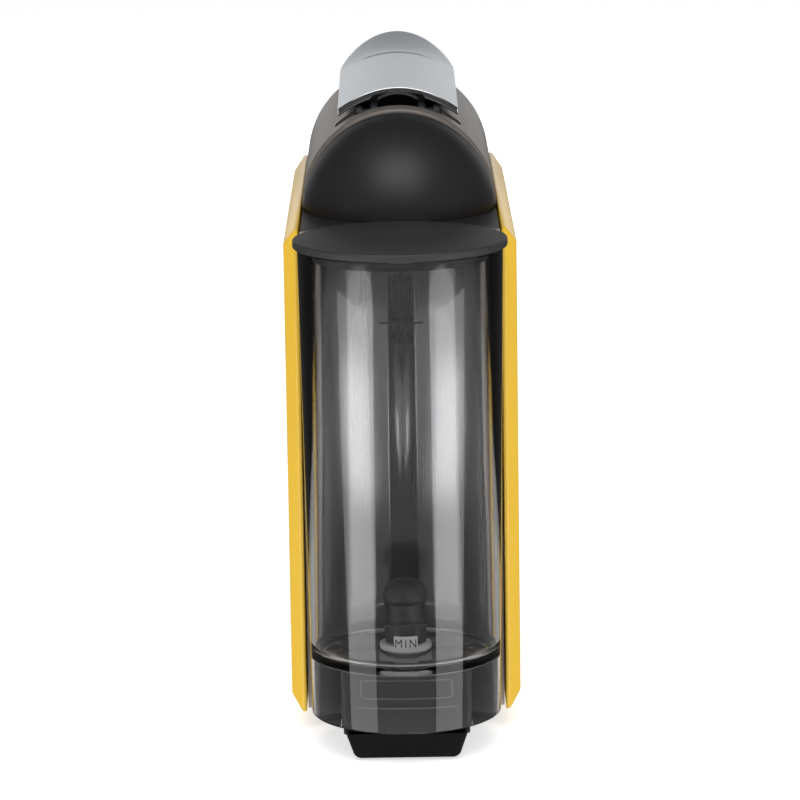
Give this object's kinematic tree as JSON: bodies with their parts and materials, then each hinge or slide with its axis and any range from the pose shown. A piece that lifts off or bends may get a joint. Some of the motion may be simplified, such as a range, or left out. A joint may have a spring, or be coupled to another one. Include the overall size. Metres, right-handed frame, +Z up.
{
  "type": "pod coffee machine",
  "caption": "Slim pod coffee machine with a clear lift-off water tank behind, a top lever that works the brew piston, and a capsule bin and drip tray in front.",
  "frame": {"origin": "bottom centre of the whole machine's box, on the surface it stands on", "axes": "+Z up, -Y towards the front (spout and drip tray), +Y towards the water tank, +X the machine's left side"},
  "size_m": [0.104, 0.3314, 0.2918],
  "materials": {
    "yellow_plastic": "satin moulded yellow",
    "black_plastic": "satin black moulded",
    "gloss_black": "gloss black moulded",
    "warm_grey": "dark warm grey, faintly brushed",
    "silver_paint": "satin silver paint",
    "chrome_plate": "bright chrome",
    "steel": "plain steel",
    "aluminium": "cast aluminium",
    "rubber": "black rubber",
    "silicone": "milky silicone",
    "clear_plastic": "clear moulded tank",
    "white_plastic": "off-white moulded",
    "circuit_board": "green circuit board"
  },
  "bodies": {
    "housing": {"side_panel_left": "yellow_plastic", "side_panel_right": "yellow_plastic", "tunnel_cover": "warm_grey", "rear_dome": "black_plastic", "front_cap": "warm_grey", "head_cover": "gloss_black", "top_deck": "black_plastic", "rear_wall": "gloss_black", "inner_frame_left": "black_plastic", "inner_frame_right": "black_plastic", "base": "black_plastic", "foot_cover": "black_plastic", "cord_gland": "rubber", "front_foot_left": "rubber", "front_foot_right": "rubber", "middle_foot_left": "rubber", "middle_foot_right": "rubber", "rear_foot_pad": "rubber", "case_screw_left": "steel", "case_screw_right": "steel", "tank_socket": "white_plastic", "lever_pin": "steel", "brew_frame": "steel", "capsule_holder": "black_plastic", "extraction_plate": "steel", "capsule_chute": "black_plastic", "coffee_spout": "black_plastic", "coffee_pipe": "silicone", "control_board": "circuit_board", "pump_body": "steel", "pump_mount": "rubber", "pump_bracket": "black_plastic", "thermoblock": "aluminium", "flow_meter": "white_plastic", "power_board": "circuit_board", "suction_hose": "silicone", "feed_hose": "silicone", "pressure_hose": "silicone", "brew_hose": "silicone"},
    "lever": {"lever_handle": "silver_paint", "lever_trim": "chrome_plate", "lever_yoke": "black_plastic", "crank_pin": "steel"},
    "links": {"toggle_link_left": "steel", "toggle_link_right": "steel"},
    "piston": {"brew_piston": "black_plastic", "piston_pin": "steel", "piston_seal": "silicone", "piercing_plate": "steel"},
    "tank": {"water_tank": "clear_plastic", "tank_valve_body": "white_plastic", "tank_valve_spring": "steel", "tank_filter": "black_plastic"},
    "lid": {"tank_lid": "black_plastic"},
    "valve_plunger": {"tank_valve_plunger": "white_plastic"},
    "espresso_key": {"espresso_button": "silver_paint"},
    "lungo_key": {"lungo_button": "silver_paint"},
    "bin": {"capsule_bin": "black_plastic"},
    "tray": {"drip_tray": "gloss_black"},
    "grid": {"drip_grid": "chrome_plate"}
  },
  "joints": [
    {"name": "lever_hinge", "type": "hinge", "parent": "housing", "child": "lever", "pos_m": [0, 0.002, 0.2698], "axis": [-1, 0, 0], "range_deg": [0, 75]},
    {"name": "link_hinge", "type": "hinge", "parent": "lever", "child": "links", "pos_m": [0, -0.018, 0.2578], "axis": [1, 0, 0], "range_deg": [0, 112.6]},
    {"name": "piston_slide", "type": "slide", "parent": "housing", "child": "piston", "axis": [0, 1, 0], "range_m": [0, 0.0185], "deforming": ["brew_hose"]},
    {"name": "tank_lift", "type": "slide", "parent": "housing", "child": "tank", "axis": [0, 0, 1], "range_m": [0, 0.026]},
    {"name": "lid_lift", "type": "slide", "parent": "tank", "child": "lid", "axis": [0, 0, 1], "range_m": [0, 0.04]},
    {"name": "valve_slide", "type": "slide", "parent": "tank", "child": "valve_plunger", "axis": [0, 0, 1], "range_m": [0, 0.003], "stiffness_N_per_m": 120, "springref_m": -0.004, "deforming": ["tank_valve_spring"]},
    {"name": "espresso_key_press", "type": "slide", "parent": "housing", "child": "espresso_key", "axis": [0, 1, 0], "range_m": [0, 0.0012], "stiffness_N_per_m": 400, "springref_m": -0.001},
    {"name": "lungo_key_press", "type": "slide", "parent": "housing", "child": "lungo_key", "axis": [0, 1, 0], "range_m": [0, 0.0012], "stiffness_N_per_m": 400, "springref_m": -0.001},
    {"name": "bin_slide", "type": "slide", "parent": "housing", "child": "bin", "axis": [0, -1, 0], "range_m": [0, 0.09]},
    {"name": "tray_slide", "type": "slide", "parent": "housing", "child": "tray", "axis": [0, -1, 0], "range_m": [0, 0.095]},
    {"name": "grid_lift", "type": "slide", "parent": "tray", "child": "grid", "axis": [0, 0, 1], "range_m": [0, 0.03]}
  ],
  "couplings": [
    {"joint": "link_hinge", "follows": "lever_hinge", "ratio": 1.5},
    {"joint": "piston_slide", "follows": "lever_hinge", "m_per_rad": 0.0141}
  ]
}
